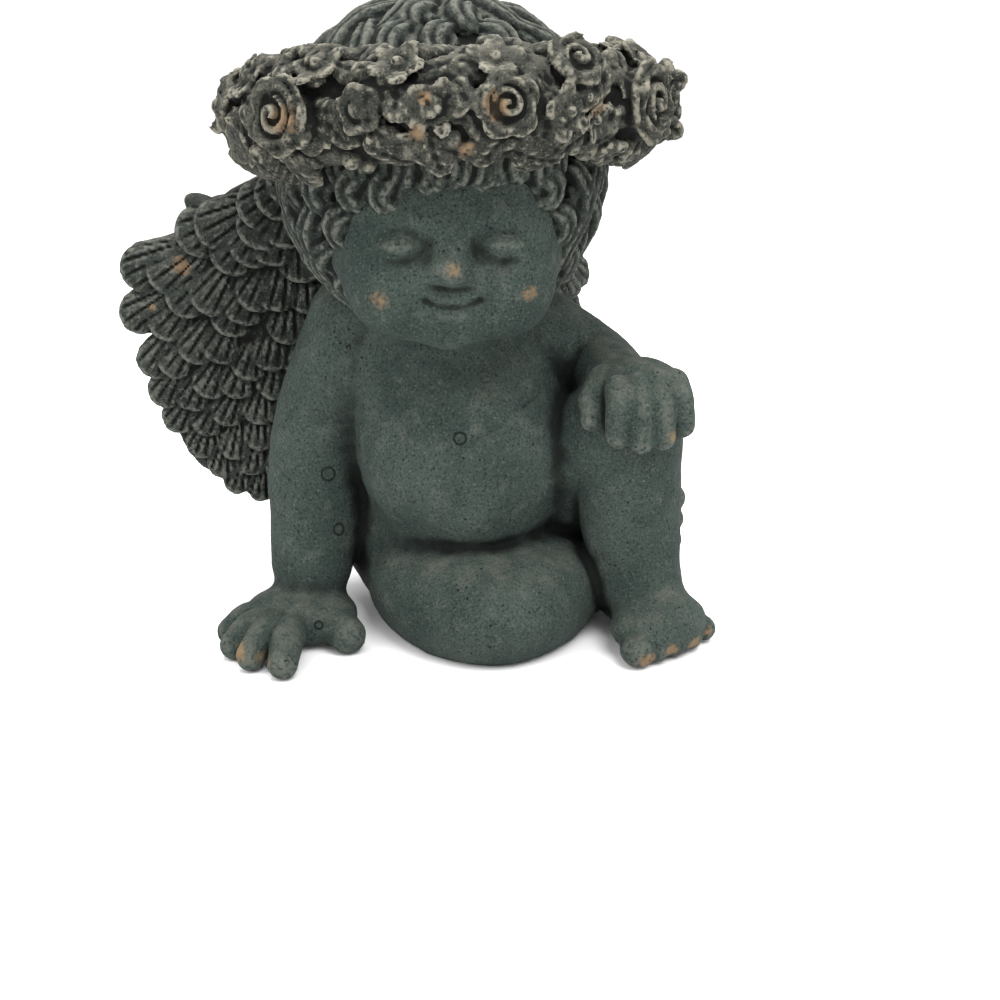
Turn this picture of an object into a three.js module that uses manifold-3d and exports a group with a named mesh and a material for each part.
// Seated putto with a rose wreath on its head and a pair of wings, cast in one piece.
// Millimetres. +X is to the viewer's right, +Y runs to the back, +Z is up, and the figure looks along -Y.
// The origin is on the flat underside, below the middle of the body.
import * as THREE from "three";
import { triTable } from "three/addons/objects/MarchingCubes.js";
import { SimplifyModifier } from "three/addons/modifiers/SimplifyModifier.js";
import { mergeVertices } from "three/addons/utils/BufferGeometryUtils.js";
import Module from "manifold-3d";

const at = (x, y, z) => new THREE.Vector3(x, y, z);

// Driving dimensions: joints and middles of the forms, with the flesh radius at each.
const TORSO = {
  chest: { centre: at(2, 1, 92), radii: at(32, 25, 27) },
  belly: { centre: at(8, -8, 60), radii: at(33, 35, 31) },
  waistFillet: 22,
  seat: { centre: at(6, 12, 24), radii: at(42, 38, 30) },
  neck: { from: at(2, 0, 100), to: at(2, -8, 122), radii: [23, 22] },
  fillet: 12,
};
const PROPPING_ARM = {
  joints: [at(-27, 4, 102), at(-41, 2, 62), at(-45, -12, 22)],
  radii: [17, 17.5, 14],
  fillet: 4,
};
const PROPPING_HAND = {
  palm: { centre: at(-49, -25, 8), radii: at(19, 17, 9.5) },
  palmFillet: 5,
  fingerCount: 4,
  fingerRoot: 9,
  fingerReach: 23,
  fingerReachStep: 3.2,
  fingerRadii: [6.2, 5.8, 5],
  knuckleShare: 0.55,
  knuckleLift: 2.6,
  fanStart: 18,
  fanStep: 22.5,
  tipHeight: 5,
  thumb: { from: at(-39, -26, 8), to: at(-32, -39, 6), radii: [7.2, 6] },
  fillet: 1.5,
};
const RESTING_ARM = {
  joints: [at(31, 2, 99), at(51, -4, 88), at(58, -28, 86), at(62, -41, 84)],
  radii: [15, 13, 10.5, 11],
  fillet: 3,
};
const RESTING_HAND = {
  palm: { centre: at(62.5, -37, 87), radii: at(13.5, 12, 11) },
  palmFillet: 4,
  fingerCount: 4,
  knuckles: [at(54.5, -46, 90), at(71.5, -42.5, 91)],
  knuckleBulge: at(0, -1.5, 1),
  tips: [at(54, -51.5, 77.5), at(74, -46.5, 79)],
  tipBulge: at(0, -3.5, -2.6),
  bendShare: 0.45,
  bend: at(0, -3.6, 1.4),
  fingerRadii: [5, 4.9, 4.4],
  thumb: { joints: [at(51, -33, 90), at(46, -41, 86), at(45, -45, 80)], radii: [5.6, 5, 4.4] },
  fillet: 1.2,
};
const RAISED_LEG = {
  joints: [at(26, 20, 26), at(58, -28, 72), at(64, -26, 22)],
  radii: [23, 19.5, 15],
  fillet: 3,
};
const RAISED_FOOT = {
  heel: { centre: at(65, -16, 11), radii: at(12.5, 12.5, 12.5) },
  instep: { from: at(64, -26, 22), to: at(70.5, -40, 9), radii: [13, 11.5] },
  sole: { centre: at(70.5, -40, 9), radii: at(18, 13, 9), turn: 36 },
  bigToe: at(62, -52.5, 6),
  littleToe: at(85.5, -35, 5),
  toeCount: 5,
  toeBulge: 2.5,
  toeRadii: [6.3, 4.5],
  toeRoot: at(66, -30, 9),
  toeLength: 7,
  toeTaper: 0.9,
  toeFillet: 1.2,
  fillet: 4,
};
const FOLDED_LEG = {
  joints: [at(-10, -2, 17), at(-3, -27, 16), at(14, -40, 16), at(31, -28, 16), at(44, -4, 15)],
  radii: [19, 20.5, 20.5, 19.5, 16],
  fillet: 3,
};
const FOLDED_FOOT = {
  instep: { from: at(44, -2, 15), to: at(68, 6, 18), radii: [15, 12] },
  ball: { centre: at(70, 7, 24), radii: at(12, 10, 17) },
  topToe: at(81, 8, 36),
  toeDrop: 8,
  toeCount: 4,
  toeRadii: [5.2, 4.2],
  fillet: 2.5,
};
const HEAD = {
  skull: { centre: at(1, -6, 150), radii: at(44, 46, 50) },
  face: { centre: at(3, -20, 132), radii: at(34, 37, 27) },
  cheek: at(3, -41, 121),
  cheekSpread: 15.5,
  cheekRadius: 14.5,
  chin: { centre: at(3, -47, 112), radii: at(9, 8.5, 8) },
  nose: { centre: at(5, -57, 130), radii: at(5, 5.5, 5) },
  eye: at(4, -58, 135.5),
  eyeSpread: 15.5,
  eyeRadii: at(7.5, 4, 4),
  eyeFillet: 5,
  mouth: { centre: at(3.5, -60, 118), radii: at(10, 4, 1.6) },
  mouthFillet: 1.5,
  noseFillet: 4,
  fillet: 10,
};
const HAIR = {
  cap: { centre: at(1, -3, 153), radii: at(49, 49, 50) },
  faceWindow: { centre: at(3, -62, 124), radii: at(40, 42, 33) },
  lowest: 116,
  crownToNape: [14, 126],
  rows: 9,
  locksAtCrown: 3,
  locksAdded: 17,
  lockLength: 19,
  lockRadii: [4.6, 2.4],
  curl: 70,
  fillet: 1.2,
};
const WREATH = {
  centre: at(3, -4, 170),
  ringRadius: 54,
  thick: 13,
  tall: 16,
  tiltBack: 4,
  tiltSide: 2.3,
  fillet: 1,
};

// What the wreath carries. Round is the angle from the front, lift the angle up from the ring's outer side.
const ROSES = [
  { round: -43, lift: 2, radius: 11.5 },
  { round: -21, lift: 4, radius: 6.5 },
  { round: 13, lift: 2, radius: 9 },
  { round: 33, lift: 40, radius: 8.5 },
  { round: 57, lift: 0, radius: 12 },
];
const BACK_ROSES = { count: 6, round: [92, 278], lifts: [6, 16], radii: [11, 9] };
const OUTER_BLOSSOMS = [[-66, -22], [-3, 2], [28, -8], [78, -10]];
const UPPER_BLOSSOMS = [[-80, 50], [-62, 40], [-34, 50], [-12, 46], [12, 48], [62, 44]];
const BACK_BLOSSOMS = { count: 8, round: [104, 268], lift: 48 };
const BERRIES = { count: 9, inRow: 3, round: -80, roundStep: 9, lift: -34, liftStep: 14, radius: 5 };
const HANGING_LEAVES = [[-58, -62, 70], [-76, -66, 100], [-92, -58, 120], [72, -50, 60], [84, 20, 20]];
const HANGING_LENGTH = 24;
const RIM_LEAVES = { count: 26, rows: 3, lift: -48, liftStep: 16, shift: 6, turn: 20, length: 20 };

// Shapes of a rose, a blossom and a leaf, as shares of their radius or length.
const ROSE = {
  sides: 8,
  petals: 4,
  ruffle: 0.08,
  foot: -0.6,
  heart: 0.7,
  rings: [
    [0.7, -0.4],
    [1.06, 0.14],
    [0.94, 0.36],
    [0.7, 0.14],
    [0.68, 0.6],
    [0.5, 0.62],
    [0.34, 0.3],
    [0.28, 0.72],
  ],
};
const BLOSSOM = {
  radius: 8,
  petals: 5,
  reach: 0.6,
  rise: 0.12,
  lean: 0.2,
  petal: at(0.5, 0.42, 0.24),
  bead: 0.26,
  beadRise: 0.2,
};
const LEAF = { halves: at(0.5, 0.22, 0.14), rib: 0.6, ribSlope: 0.5, droop: 0.5 };
const WING = {
  thickness: 5,
  pivot: at(28, 147, 0),
  core: { centre: at(44, 86, 0), radii: at(32, 50, 5), turn: 18 },
  edge: { from: at(0, 112, 0), to: at(54, 126, 0), radii: [9, 6] },
  fan: [-28, -107],
  reach: [67, 117],
  reachPerDegree: 1,
  firstRow: 12,
  rowStep: 13.5,
  stagger: 5,
  feather: at(14.5, 8.8, 4.4),
  sink: 1,
  overlap: 0.86,
  tipLift: 0.26,
  left: { root: at(-20, 27, 0), heading: 178 },
  right: { root: at(12, 30, 0), heading: 62 },
  fillet: 0.6,
};

// The boxes that the form is worked out in, with the grid step and the number of triangles of each part.
const BOX = new THREE.Box3(at(-126, -90, -8), at(106, 130, 220));
const PROPPING_HAND_BOX = new THREE.Box3(at(-92, -76, -6), at(-18, 2, 28));
const RESTING_HAND_BOX = new THREE.Box3(at(34, -68, 62), at(92, -12, 108));
const RAISED_FOOT_BOX = new THREE.Box3(at(42, -72, -6), at(104, 4, 44));
const FIGURE_MESH = { box: BOX, cell: 2.5, triangles: 2100 };
const PROPPING_HAND_MESH = { box: PROPPING_HAND_BOX, cell: 1.4, triangles: 340 };
const RESTING_HAND_MESH = { box: RESTING_HAND_BOX, cell: 1.4, triangles: 340 };
const RAISED_FOOT_MESH = { box: RAISED_FOOT_BOX, cell: 1.4, triangles: 280 };
const WING_MESH = { box: BOX, cell: 2, triangles: 1050 };
const CROWN_MESH = { box: BOX, cell: 2.2, triangles: 2700 };
const TRIANGLE_STEP = 8;
const GROUND = at(400, 400, 40);
const SINK = 4;
const FAR_OUTSIDE = 1e3;
const LEAST_SHARE = 0.05;
const SWEEP_STEPS = 5;
const CUBE_ROW = 16;
const SCATTER = [12.9898, 43758.5453];

const radians = THREE.MathUtils.degToRad;
const mix = THREE.MathUtils.lerp;
const clamp = THREE.MathUtils.clamp;
const scatter = (seed) => THREE.MathUtils.euclideanModulo(Math.sin(seed * SCATTER[0]) * SCATTER[1], 1);

// A list of so many things, each made from its number and its share of the way along the list.
function spread(count, make) {
  return Array.from({ length: count }, (_, i) => make(i, count > 1 ? i / (count - 1) : 0));
}

// A shape is a middle, how far it reaches from there, and the distance of a point outside it.
// This one is an ellipsoid in a turned frame, whose surface a relief of the local point can raise or sink.
function lump(radii, matrix, relief = null) {
  const inverse = matrix.clone().invert();
  const local = at(0, 0, 0);
  const distance = (p) => {
    local.copy(p).applyMatrix4(inverse);
    const [u, v, w] = [local.x / radii.x, local.y / radii.y, local.z / radii.z];
    const share = Math.hypot(u, v, w);
    const slope = Math.hypot(u / radii.x, v / radii.y, w / radii.z);
    const outside = slope > 0 ? (share * (share - 1)) / slope : -Math.min(...radii);
    return relief ? outside - relief(local) : outside;
  };
  return { middle: at(0, 0, 0).setFromMatrixPosition(matrix), reach: Math.max(...radii), distance };
}

// An ellipsoid that stands square, or turned about Z by a number of degrees.
function blob({ centre, radii, turn = 0 }) {
  return lump(radii, new THREE.Matrix4().makeRotationZ(radians(turn)).setPosition(centre));
}

// A limb between two joints, with a radius at each and round ends.
function limb({ from, to, radii: [r0, r1] }) {
  const bone = to.clone().sub(from);
  const length2 = bone.lengthSq();
  const nearest = at(0, 0, 0);
  const distance = (p) => {
    const share = clamp(nearest.copy(p).sub(from).dot(bone) / length2, 0, 1);
    return p.distanceTo(nearest.copy(from).addScaledVector(bone, share)) - mix(r0, r1, share);
  };
  return { middle: from.clone().lerp(to, 0.5), reach: bone.length() / 2 + Math.max(r0, r1), distance };
}

// The limbs through a row of joints, as one shape.
function chain(joints, radii) {
  const limbs = joints.slice(1).map((to, i) => limb({ from: joints[i], to, radii: radii.slice(i, i + 2) }));
  const middle = new THREE.Box3().setFromPoints(joints).getCenter(at(0, 0, 0));
  const reach = Math.max(...joints.map((joint) => joint.distanceTo(middle))) + Math.max(...radii);
  const distance = (p) => limbs.reduce((least, part) => Math.min(least, part.distance(p)), FAR_OUTSIDE);
  return { middle, reach, distance };
}

// A limb along a smooth curve through the joints.
function sweep(joints, radii) {
  const spans = joints.length - 1;
  const points = new THREE.CatmullRomCurve3(joints, false, "catmullrom").getPoints(spans * SWEEP_STEPS);
  const flesh = points.map((_, i) => {
    const start = Math.min(Math.floor(i / SWEEP_STEPS), spans - 1);
    return mix(radii[start], radii[start + 1], i / SWEEP_STEPS - start);
  });
  return chain(points, flesh);
}

// A frame with its X axis along one direction, its Z axis close to another, at a place.
function frame(place, along, facing) {
  const x = along.clone().normalize();
  const y = facing.clone().cross(x).normalize();
  return new THREE.Matrix4().makeBasis(x, y, x.clone().cross(y)).setPosition(place);
}

// A block of clay: on each point of a grid, the distance outside the form that has been built up so far.
class Clay {
  constructor(box, cell) {
    this.low = box.min;
    this.cell = cell;
    this.count = box.getSize(at(0, 0, 0)).divideScalar(cell).ceil().addScalar(1);
    this.values = new Float64Array(this.count.x * this.count.y * this.count.z).fill(FAR_OUTSIDE);
  }

  index(x, y, z) {
    return x + this.count.x * (y + this.count.y * z);
  }

  place(x, y, z) {
    return at(x, y, z).multiplyScalar(this.cell).add(this.low);
  }

  // Calls work on each grid point near a shape, with the value there and the shape's own distance.
  near(shape, margin, work) {
    const room = at(1, 1, 1).multiplyScalar(shape.reach + margin + 2 * this.cell);
    const from = shape.middle.clone().sub(room).sub(this.low).divideScalar(this.cell).floor();
    const to = shape.middle.clone().add(room).sub(this.low).divideScalar(this.cell).ceil();
    from.max(at(0, 0, 0));
    to.min(this.count.clone().subScalar(1));
    for (let z = from.z; z <= to.z; z++) {
      for (let y = from.y; y <= to.y; y++) {
        for (let x = from.x; x <= to.x; x++) {
          const i = this.index(x, y, z);
          this.values[i] = work(this.values[i], shape.distance(this.place(x, y, z)));
        }
      }
    }
  }

  // Adds shapes, each with a fillet of about that size where it meets what is there.
  add(shapes, fillet) {
    for (const shape of shapes) {
      this.near(shape, fillet, (a, b) => {
        const close = Math.max(fillet - Math.abs(a - b), 0) / fillet;
        return Math.min(a, b) - (close * close * fillet) / 4;
      });
    }
  }

  // Presses a hollow the shape of a tool into the form, with a rounded edge.
  hollow(shapes, fillet) {
    for (const shape of shapes) {
      this.near(shape, fillet, (a, b) => {
        const close = Math.max(fillet - Math.abs(a + b), 0) / fillet;
        return Math.max(a, -b) + (close * close * fillet) / 4;
      });
    }
  }

  // Cuts everything below a height away flat.
  cutBelow(height) {
    for (let z = 0; z < this.count.z; z++) {
      const below = height - this.place(0, 0, z).z;
      for (let i = this.index(0, 0, z); i < this.index(0, 0, z + 1); i++) {
        this.values[i] = Math.max(this.values[i], below);
      }
    }
  }

  // Rounds slits and edges finer than the grid off: each value is averaged with its neighbours.
  soften() {
    const limit = 2 * this.cell;
    for (const step of [1, this.count.x, this.count.x * this.count.y]) {
      const before = this.values.map((value) => clamp(value, -limit, limit));
      this.values = before.map((value, i) => {
        const inside = i >= step && i < before.length - step;
        return inside ? value / 2 + (before[i - step] + before[i + step]) / 4 : value;
      });
    }
  }

  // The surface where the distance is zero, by marching cubes: one vertex on each grid edge that it crosses.
  surface() {
    const ring = [[0, 0], [1, 0], [1, 1], [0, 1]];
    const corners = [...ring.map(([i, j]) => [i, j, 0]), ...ring.map(([i, j]) => [i, j, 1])];
    const lower = ring.map((_, i) => [i, (i + 1) % 4]);
    const edges = [...lower, ...lower.map(([a, b]) => [a + 4, b + 4]), ...ring.map((_, i) => [i, i + 4])];
    const total = this.values.length;
    const positions = [];
    const triangles = [];
    const made = new Map();
    const vertexOn = (a, b) => {
      const [i, j] = [this.index(...a), this.index(...b)];
      const key = Math.min(i, j) * total + Math.max(i, j);
      if (!made.has(key)) {
        const share = clamp(this.values[i] / (this.values[i] - this.values[j]), LEAST_SHARE, 1 - LEAST_SHARE);
        made.set(key, positions.length / 3);
        positions.push(...this.place(...a).lerp(this.place(...b), share).toArray());
      }
      return made.get(key);
    };
    for (let z = 0; z < this.count.z - 1; z++) {
      for (let y = 0; y < this.count.y - 1; y++) {
        for (let x = 0; x < this.count.x - 1; x++) {
          const cell = corners.map(([i, j, k]) => [x + i, y + j, z + k]);
          const outside = cell.map((corner) => this.values[this.index(...corner)] > 0);
          const kind = outside.reduce((bits, is, i) => bits | (is ? 1 << i : 0), 0);
          for (let t = kind * CUBE_ROW; triTable[t] >= 0; t++) {
            const [a, b] = edges[triTable[t]];
            triangles.push(vertexOn(cell[a], cell[b]));
          }
        }
      }
    }
    const geometry = new THREE.BufferGeometry();
    geometry.setAttribute("position", new THREE.Float32BufferAttribute(positions, 3));
    return geometry.setIndex(triangles);
  }
}

function addTorso(clay) {
  clay.add([blob(TORSO.chest), blob(TORSO.belly)], TORSO.waistFillet);
  clay.add([blob(TORSO.seat), limb(TORSO.neck)], TORSO.fillet);
}

// The arm that props the figure up, down to its palm.
function addProppingArm(clay) {
  clay.add([sweep(PROPPING_ARM.joints, PROPPING_ARM.radii)], PROPPING_ARM.fillet);
  clay.add([blob(PROPPING_HAND.palm)], PROPPING_HAND.palmFillet);
}

// The hand flat on the ground, with its fingers in a fan.
function addProppingHand(clay) {
  const hand = PROPPING_HAND;
  const centre = hand.palm.centre;
  const fingers = spread(hand.fingerCount, (i) => {
    const angle = radians(hand.fanStart + i * hand.fanStep);
    const heading = at(-Math.cos(angle), -Math.sin(angle), 0);
    const reach = hand.fingerReach + i * hand.fingerReachStep;
    const root = centre.clone().addScaledVector(heading, hand.fingerRoot);
    const tip = centre.clone().addScaledVector(heading, reach).setZ(hand.tipHeight);
    const knuckle = root.clone().lerp(tip, hand.knuckleShare);
    knuckle.z += hand.knuckleLift;
    return chain([root, knuckle, tip], hand.fingerRadii);
  });
  clay.add([blob(hand.palm), limb(hand.thumb), ...fingers], hand.fillet);
}

// The arm that reaches forward to the raised knee, up to its palm.
function addRestingArm(clay) {
  clay.add([sweep(RESTING_ARM.joints, RESTING_ARM.radii)], RESTING_ARM.fillet);
  clay.add([blob(RESTING_HAND.palm)], RESTING_HAND.palmFillet);
}

// The hand hung over the knee, with its fingers together.
function addRestingHand(clay) {
  const hand = RESTING_HAND;
  const fingers = spread(hand.fingerCount, (i, share) => {
    const bulge = Math.sin(Math.PI * share);
    const root = at(0, 0, 0).lerpVectors(...hand.knuckles, share).addScaledVector(hand.knuckleBulge, bulge);
    const tip = at(0, 0, 0).lerpVectors(...hand.tips, share).addScaledVector(hand.tipBulge, bulge);
    const middle = root.clone().lerp(tip, hand.bendShare).add(hand.bend);
    return chain([root, middle, tip], hand.fingerRadii);
  });
  clay.add([blob(hand.palm), chain(hand.thumb.joints, hand.thumb.radii), ...fingers], hand.fillet);
}

// The leg with its knee up.
function addRaisedLeg(clay) {
  clay.add([chain(RAISED_LEG.joints, RAISED_LEG.radii)], RAISED_LEG.fillet);
  clay.add([blob(RAISED_FOOT.heel), limb(RAISED_FOOT.instep)], RAISED_FOOT.fillet);
}

// The foot under it, with a row of round toes.
function addRaisedFoot(clay) {
  const foot = RAISED_FOOT;
  const toes = spread(foot.toeCount, (i, share) => {
    const tip = foot.bigToe.clone().lerp(foot.littleToe, share);
    tip.y -= foot.toeBulge * Math.sin(Math.PI * share);
    const inward = foot.toeRoot.clone().sub(tip).setLength(foot.toeLength);
    const radius = mix(...foot.toeRadii, share);
    return limb({ from: tip, to: tip.clone().add(inward), radii: [radius, radius * foot.toeTaper] });
  });
  clay.add([blob(foot.heel), limb(foot.instep), blob(foot.sole)], foot.fillet);
  clay.add(toes, foot.toeFillet);
}

// The leg that lies folded in front of the belly, with its foot out behind the raised leg.
function addFoldedLeg(clay) {
  const { instep, ball, topToe, toeDrop, toeCount, toeRadii, fillet } = FOLDED_FOOT;
  const toes = spread(toeCount, (i, share) => {
    const radius = mix(...toeRadii, share);
    return blob({ centre: topToe.clone().setZ(topToe.z - toeDrop * i), radii: at(radius, radius, radius) });
  });
  clay.add([sweep(FOLDED_LEG.joints, FOLDED_LEG.radii)], FOLDED_LEG.fillet);
  clay.add([limb(instep), blob(ball), ...toes], fillet);
}

// The head with a soft, worn child's face: cheeks, chin, button nose, and hollows for the eyes and the mouth.
function addHead(clay) {
  const { cheek, cheekSpread, cheekRadius, eye, eyeSpread, eyeRadii } = HEAD;
  const cheekRadii = at(cheekRadius, cheekRadius, cheekRadius);
  const pair = (middle, apart, radii) =>
    [-1, 1].map((side) => blob({ centre: middle.clone().setX(middle.x + side * apart), radii }));
  clay.add([blob(HEAD.skull), blob(HEAD.face)], HEAD.fillet);
  clay.add([...pair(cheek, cheekSpread, cheekRadii), blob(HEAD.chin)], HEAD.fillet);
  clay.hollow(pair(eye, eyeSpread, eyeRadii), HEAD.eyeFillet);
  clay.hollow([blob(HEAD.mouth)], HEAD.mouthFillet);
  clay.add([blob(HEAD.nose)], HEAD.noseFillet);
}

// One lock of hair: it leaves the cap at a place, bends one way and then hooks back.
function lock(from, out, side) {
  const { lockLength, lockRadii, curl } = HAIR;
  const down = at(0, 0, -1).projectOnPlane(out).setLength(lockLength / 2);
  const bend = radians((side * curl) / 2);
  const middle = from.clone().add(down.clone().applyAxisAngle(out, -bend));
  const end = middle.clone().add(down.clone().applyAxisAngle(out, bend));
  return chain([from, middle, end], [lockRadii[0], (lockRadii[0] + lockRadii[1]) / 2, lockRadii[1]]);
}

// The hair: a cap that is open over the face, under rows of locks that run down from the crown.
function addHair(clay) {
  const { cap, faceWindow, lowest, crownToNape, rows, locksAtCrown, locksAdded, fillet } = HAIR;
  const whole = blob(cap);
  const window = blob(faceWindow);
  const distance = (p) => Math.max(whole.distance(p), -window.distance(p), lowest - p.z);
  clay.add([{ ...whole, distance }], fillet);
  spread(rows, (row, share) => {
    const polar = radians(mix(...crownToNape, share));
    const count = Math.round(locksAtCrown + locksAdded * Math.sin(polar));
    spread(count, (i) => {
      const round = ((i + (row % 2) / 2) / count) * 2 * Math.PI;
      const out = at(Math.sin(polar) * Math.sin(round), -Math.sin(polar) * Math.cos(round), Math.cos(polar));
      const from = out.clone().multiply(cap.radii).add(cap.centre);
      if (window.distance(from) > fillet && from.z > lowest) {
        const side = Math.sign(scatter(row * rows + i) - 0.5);
        clay.add([lock(from, out, side)], fillet);
      }
    });
  });
}

// The wreath's own frame, tilted back and to the side, at the middle of its ring.
function wreathFrame() {
  const turn = new THREE.Euler(radians(-WREATH.tiltBack), radians(-WREATH.tiltSide), 0);
  return new THREE.Matrix4().makeRotationFromEuler(turn).setPosition(WREATH.centre);
}

// The frame of a flower on the wreath, with its Z axis out of the ring.
function onWreath(round, lift, turn = 0) {
  const [a, b] = [radians(round), radians(lift)];
  const out = at(Math.sin(a) * Math.cos(b), -Math.cos(a) * Math.cos(b), Math.sin(b));
  const place = at(Math.sin(a), -Math.cos(a), 0).multiplyScalar(WREATH.ringRadius);
  place.add(out.clone().multiply(at(WREATH.thick, WREATH.thick, WREATH.tall)));
  const along = at(Math.cos(a), Math.sin(a), 0).applyAxisAngle(out, radians(turn));
  return wreathFrame().multiply(frame(place, along, out));
}

// The core of the wreath: a ring whose section is an upright ellipse.
function wreathRing() {
  const inverse = wreathFrame().invert();
  const { centre, ringRadius, thick, tall } = WREATH;
  const local = at(0, 0, 0);
  const distance = (p) => {
    local.copy(p).applyMatrix4(inverse);
    return (Math.hypot((Math.hypot(local.x, local.y) - ringRadius) / thick, local.z / tall) - 1) * thick;
  };
  return { middle: centre, reach: ringRadius + tall, distance };
}

// An open rose: rings of ruffled petals that rise and fall towards its heart, each ring set between the last.
function rose(radius, matrix) {
  const { sides, petals, ruffle, foot, heart, rings } = ROSE;
  const positions = rings.flatMap(([share, height], ring) =>
    spread(sides, (i) => {
      const turn = (i / sides) * 2 * Math.PI;
      const wide = share * (1 + ruffle * Math.cos(petals * turn + Math.PI * Math.floor(ring / 3)));
      return [wide * Math.cos(turn), wide * Math.sin(turn), height];
    }).flat(),
  );
  const last = rings.length * sides;
  positions.push(0, 0, foot, 0, 0, heart);
  const triangles = spread(sides, (i) => {
    const next = (i + 1) % sides;
    const bands = spread(rings.length - 1, (ring) => {
      const [a, b] = [ring * sides + i, ring * sides + next];
      return [a, b, b + sides, a, b + sides, a + sides];
    });
    return [last, next, i, last - sides + i, last - sides + next, last + 1, ...bands.flat()];
  });
  const geometry = new THREE.BufferGeometry();
  geometry.setAttribute("position", new THREE.Float32BufferAttribute(positions, 3));
  geometry.setIndex(triangles.flat());
  return geometry.scale(radius, radius, radius).applyMatrix4(matrix);
}

// A small flower: round petals and a bead in the middle.
function blossom(radius, matrix) {
  const { petals, reach, rise, lean, petal, bead, beadRise } = BLOSSOM;
  const ring = spread(petals, (i) => {
    const turn = (i / petals) * 2 * Math.PI;
    const place = at(Math.cos(turn), Math.sin(turn), rise).multiplyScalar(radius * reach);
    const own = frame(place, at(Math.cos(turn), Math.sin(turn), lean), at(0, 0, 1));
    return lump(petal.clone().multiplyScalar(radius), matrix.clone().multiply(own));
  });
  const middle = matrix.clone().multiply(new THREE.Matrix4().setPosition(0, 0, radius * beadRise));
  return [...ring, lump(at(bead, bead, bead).multiplyScalar(radius), middle)];
}

// A leaf, with a rib along its middle.
function leaf(length, matrix) {
  const { halves, rib, ribSlope, droop } = LEAF;
  const relief = (p) => Math.max(0, rib - Math.abs(p.y) * ribSlope) - droop * (p.x / length) ** 2;
  return lump(halves.clone().multiplyScalar(length), matrix, relief);
}

// The leaves and berries along the wreath, under its flowers.
function addGreens(clay) {
  const { count, rows, lift, liftStep, shift, turn, length } = RIM_LEAVES;
  const berries = spread(BERRIES.count, (i) => {
    const radii = at(1, 1, 1).multiplyScalar(BERRIES.radius);
    const round = BERRIES.round + BERRIES.roundStep * (i % BERRIES.inRow);
    return lump(radii, onWreath(round, BERRIES.lift + BERRIES.liftStep * Math.floor(i / BERRIES.inRow)));
  });
  const hanging = HANGING_LEAVES.map((place) => leaf(HANGING_LENGTH, onWreath(...place)));
  const rim = spread(count, (i) => {
    const round = (i / count) * 360 + shift * scatter(i);
    return leaf(length, onWreath(round, lift + liftStep * (i % rows), turn * (2 * scatter(i + count) - 1)));
  });
  clay.add([...berries, ...hanging, ...rim], WREATH.fillet);
}

// The roses on the wreath, those at the back in an even row.
function wreathRoses() {
  const { count, round: rounds, lifts, radii } = BACK_ROSES;
  const back = spread(count, (i, share) => {
    return { round: mix(...rounds, share), lift: lifts[i % 2], radius: radii[i % 2] };
  });
  return [...ROSES, ...back].map(({ round, lift, radius }) => rose(radius, onWreath(round, lift, round)));
}

// The ring of the wreath with its leaves, berries and small flowers.
function addWreath(clay) {
  const { count, round: rounds, lift: backLift } = BACK_BLOSSOMS;
  const backBlossoms = spread(count, (i, share) => [mix(...rounds, share), backLift]);
  clay.add([wreathRing()], WREATH.fillet);
  addGreens(clay);
  for (const [round, lift] of [...OUTER_BLOSSOMS, ...UPPER_BLOSSOMS, ...backBlossoms]) {
    clay.add(blossom(BLOSSOM.radius, onWreath(round, lift, round)), WREATH.fillet);
  }
}

// A wing: a thin core, with feathers on both faces in rows round a pivot. Each row lies over the one outside.
function addWing(clay, { root, heading }) {
  const { core, edge, thickness, pivot, fan, reach, reachPerDegree, firstRow, rowStep, feather } = WING;
  const out = at(Math.cos(radians(heading)), Math.sin(radians(heading)), 0);
  const up = at(0, 0, 1);
  const base = new THREE.Matrix4().makeBasis(out, up, out.clone().cross(up)).setPosition(root);
  const turned = new THREE.Matrix4().makeRotationZ(radians(core.turn)).setPosition(core.centre);
  const [from, to] = [edge.from, edge.to].map((joint) => joint.clone().applyMatrix4(base));
  clay.add([lump(core.radii, base.clone().multiply(turned))], WING.fillet);
  clay.add([limb({ from, to, radii: edge.radii })], thickness);
  for (let row = 0; row * rowStep < reach[1] - firstRow; row++) {
    let angle = fan[0] - (row % 2) * WING.stagger;
    while (angle > fan[1]) {
      const far = Math.min(reach[0] + (fan[0] - angle) * reachPerDegree, reach[1]) - row * rowStep;
      const away = at(Math.cos(radians(angle)), Math.sin(radians(angle)), 0);
      const faces = far < firstRow ? [] : [-1, 1];
      for (const face of faces) {
        const place = pivot.clone().addScaledVector(away, far - feather.x);
        place.setZ(face * (thickness - WING.sink));
        const own = frame(place, away.clone().setZ(face * WING.tipLift), at(0, 0, face));
        clay.add([lump(feather, base.clone().multiply(own))], WING.fillet);
      }
      angle -= THREE.MathUtils.radToDeg((feather.y * 2 * WING.overlap) / Math.max(far, firstRow));
    }
  }
}

// Whether every edge of a geometry is shared by just two triangles.
function isClosed(geometry) {
  const index = geometry.index.array;
  const uses = new Map();
  index.forEach((from, i) => {
    const to = index[i % 3 === 2 ? i - 2 : i + 1];
    const key = Math.min(from, to) * index.length + Math.max(from, to);
    uses.set(key, (uses.get(key) ?? 0) + 1);
  });
  return [...uses.values()].every((count) => count === 2);
}

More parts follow.
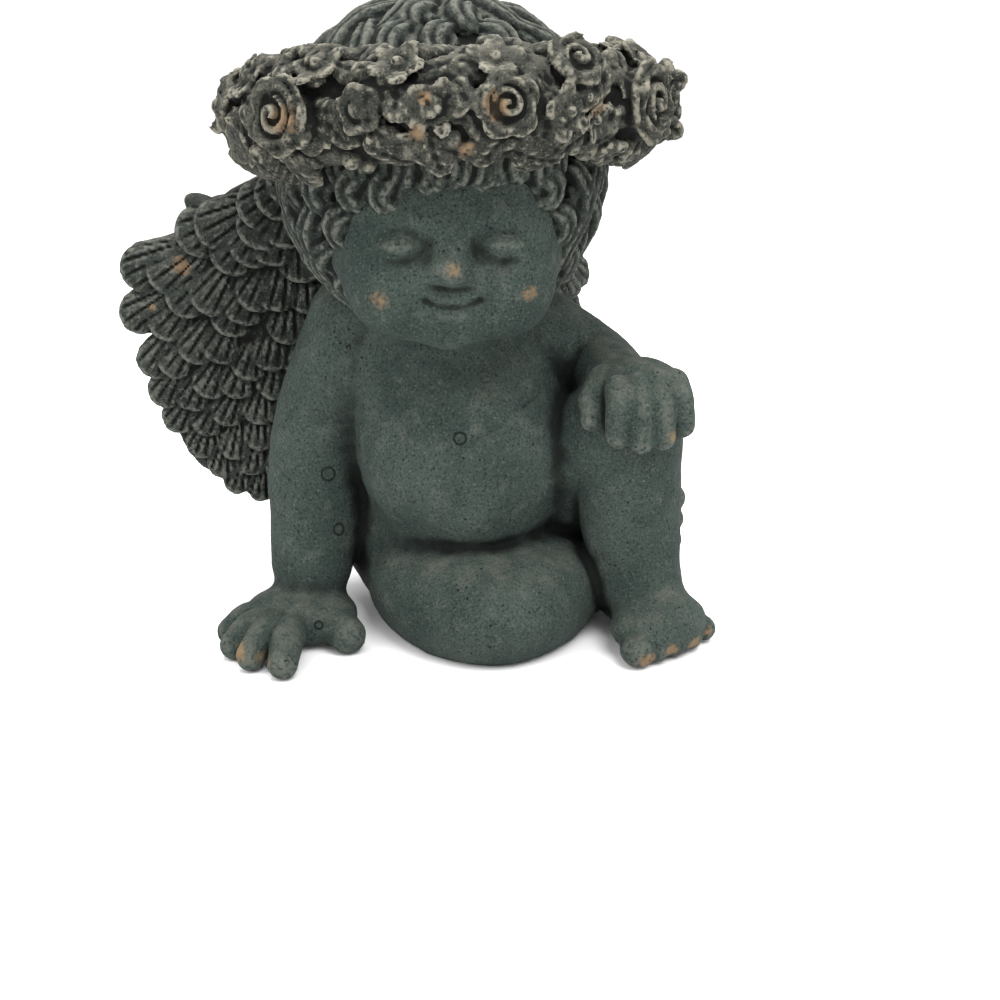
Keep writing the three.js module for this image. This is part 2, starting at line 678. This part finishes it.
// The form with about so many triangles: the nearest number, more or fewer, that leaves it closed.
async function simplify(geometry, triangles) {
  const total = geometry.index.count / 3;
  for (let step = 0; ; step++) {
    const side = step % 2 ? 1 : -1;
    const aim = triangles + side * Math.ceil(step / 2) * TRIANGLE_STEP;
    const removed = Math.round(geometry.attributes.position.count * (1 - aim / total));
    const made = await new SimplifyModifier().modify(geometry, removed);
    if (isClosed(made)) {
      return made;
    }
  }
}

const wasm = await Module();
wasm.setup();

// A closed geometry as a solid.
function solid(geometry) {
  const vertProperties = new Float32Array(geometry.attributes.position.array);
  const triVerts = new Uint32Array(geometry.index.array);
  return new wasm.Manifold(new wasm.Mesh({ numProp: 3, vertProperties, triVerts }));
}

// The largest body of a solid as a geometry, without voids or loose crumbs.
function soundBody(made) {
  const bodies = made.decompose();
  const body = bodies.reduce((most, next) => (next.volume() > most.volume() ? next : most)).getMesh();
  const geometry = new THREE.BufferGeometry();
  geometry.setAttribute("position", new THREE.BufferAttribute(body.vertProperties, 3));
  return geometry.setIndex(new THREE.BufferAttribute(body.triVerts, 1));
}

// The ground under the statue, which cuts its underside flat.
function ground() {
  const block = new THREE.BoxGeometry(GROUND.x, GROUND.y, GROUND.z).translate(0, 0, -GROUND.z / 2);
  block.deleteAttribute("normal");
  block.deleteAttribute("uv");
  return solid(mergeVertices(block));
}

// Models one part of the form in clay of its own, and gives its surface with about so many triangles.
async function model({ cell, triangles, box }, ...steps) {
  const clay = new Clay(box, cell);
  steps.forEach((step) => step(clay));
  clay.soften();
  clay.cutBelow(-SINK);
  return simplify(soundBody(solid(clay.surface())), triangles);
}

const parts = [
  await model(FIGURE_MESH, addTorso, addProppingArm, addRaisedLeg, addFoldedLeg, addRestingArm, addHead),
  await model(PROPPING_HAND_MESH, addProppingHand),
  await model(RESTING_HAND_MESH, addRestingHand),
  await model(RAISED_FOOT_MESH, addRaisedFoot),
  await model(WING_MESH, (clay) => addWing(clay, WING.left)),
  await model(WING_MESH, (clay) => addWing(clay, WING.right)),
  await model(CROWN_MESH, addHair, addWreath),
  ...wreathRoses(),
];
const whole = soundBody(wasm.Manifold.union(parts.map(solid)).subtract(ground()));
whole.computeVertexNormals();
const stone = new THREE.MeshStandardMaterial({ color: 0x56625c, roughness: 0.9, metalness: 0 });
const statue = new THREE.Mesh(whole, stone);
statue.name = "putto_statue";
const putto = new THREE.Group();
putto.add(statue);

export default putto;
